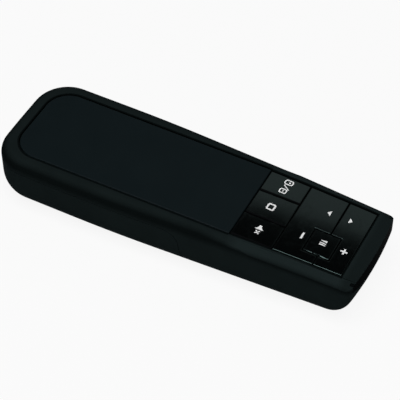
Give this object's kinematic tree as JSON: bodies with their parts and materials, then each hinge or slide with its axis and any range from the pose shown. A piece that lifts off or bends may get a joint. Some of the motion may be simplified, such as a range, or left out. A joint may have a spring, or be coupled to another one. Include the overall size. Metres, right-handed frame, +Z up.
{
  "type": "wireless presentation clicker",
  "caption": "Slim hand-held wireless presentation remote with a flat thumb pad, flush square keys and rocker keys, a dark front window, a slide-off battery door and a stowed receiver.",
  "frame": {"origin": "on the rest surface under the middle of the body", "axes": "+X towards the keypad end, +Y across, +Z up through the keys"},
  "size_m": [0.1248, 0.041, 0.0206],
  "materials": {
    "housing": "soft-touch black plastic, finely textured",
    "panel": "smooth satin black inlay",
    "window": "polished dark infrared window",
    "key": "glossy black keycap with printed white sign",
    "inner_plastic": "plain moulded dark grey",
    "board": "green solder mask",
    "switch_metal": "plated steel",
    "chip": "moulded black epoxy",
    "brass": "turned brass",
    "lens": "clear moulded lens",
    "slider": "moulded black",
    "cell": "plain printed steel can",
    "contact": "nickel plated spring steel",
    "receiver": "moulded black",
    "screw": "black zinc plated"
  },
  "bodies": {
    "body": {"top_housing": "housing", "bottom_housing": "housing", "palm_panel": "panel", "front_window": "window", "key_frame": "inner_plastic", "main_pcb": "board", "tact_switches": "switch_metal", "controller_chip": "chip", "pcb_components": "chip", "laser_barrel": "brass", "laser_lens": "lens", "power_switch": "switch_metal", "battery_left": "cell", "battery_right": "cell", "battery_springs": "contact", "battery_contacts": "contact", "receiver_shell": "receiver", "receiver_plug": "contact", "receiver_tongue": "slider", "housing_screws": "screw", "pcb_screws": "screw"},
    "screen_key": {"key_screen": "key"},
    "blank_key": {"key_blank": "key"},
    "mute_key": {"key_mute": "key"},
    "laser_key": {"key_laser": "key"},
    "rear_rocker": {"rocker_rear": "key"},
    "front_rocker": {"rocker_front": "key"},
    "door": {"battery_door": "housing"},
    "power_knob": {"power_slider": "slider"}
  },
  "joints": [
    {"name": "screen_key_press", "type": "slide", "parent": "body", "child": "screen_key", "axis": [0, 0, -1], "range_m": [0, 0.0004], "stiffness_N_per_m": 3750, "springref_m": -0.0001},
    {"name": "blank_key_press", "type": "slide", "parent": "body", "child": "blank_key", "axis": [0, 0, -1], "range_m": [0, 0.0004], "stiffness_N_per_m": 3750, "springref_m": -0.0001},
    {"name": "mute_key_press", "type": "slide", "parent": "body", "child": "mute_key", "axis": [0, 0, -1], "range_m": [0, 0.0004], "stiffness_N_per_m": 3750, "springref_m": -0.0001},
    {"name": "laser_key_press", "type": "slide", "parent": "body", "child": "laser_key", "axis": [0, 0, -1], "range_m": [0, 0.0004], "stiffness_N_per_m": 3750, "springref_m": -0.0001},
    {"name": "rear_rocker_tilt", "type": "hinge", "parent": "body", "child": "rear_rocker", "pos_m": [0.041, 0, 0.0166], "axis": [1, 0, 0], "range_deg": [-1.6, 1.6], "stiffness_Nm_per_rad": 0.48},
    {"name": "front_rocker_tilt", "type": "hinge", "parent": "body", "child": "front_rocker", "pos_m": [0.0543, 0, 0.0166], "axis": [1, 0, 0], "range_deg": [-1.6, 1.6], "stiffness_Nm_per_rad": 0.48},
    {"name": "door_slide", "type": "slide", "parent": "body", "child": "door", "axis": [-1, 0, 0], "range_m": [0, 0.065]},
    {"name": "power_slide", "type": "slide", "parent": "body", "child": "power_knob", "axis": [1, 0, 0], "range_m": [0, 0.002]}
  ]
}
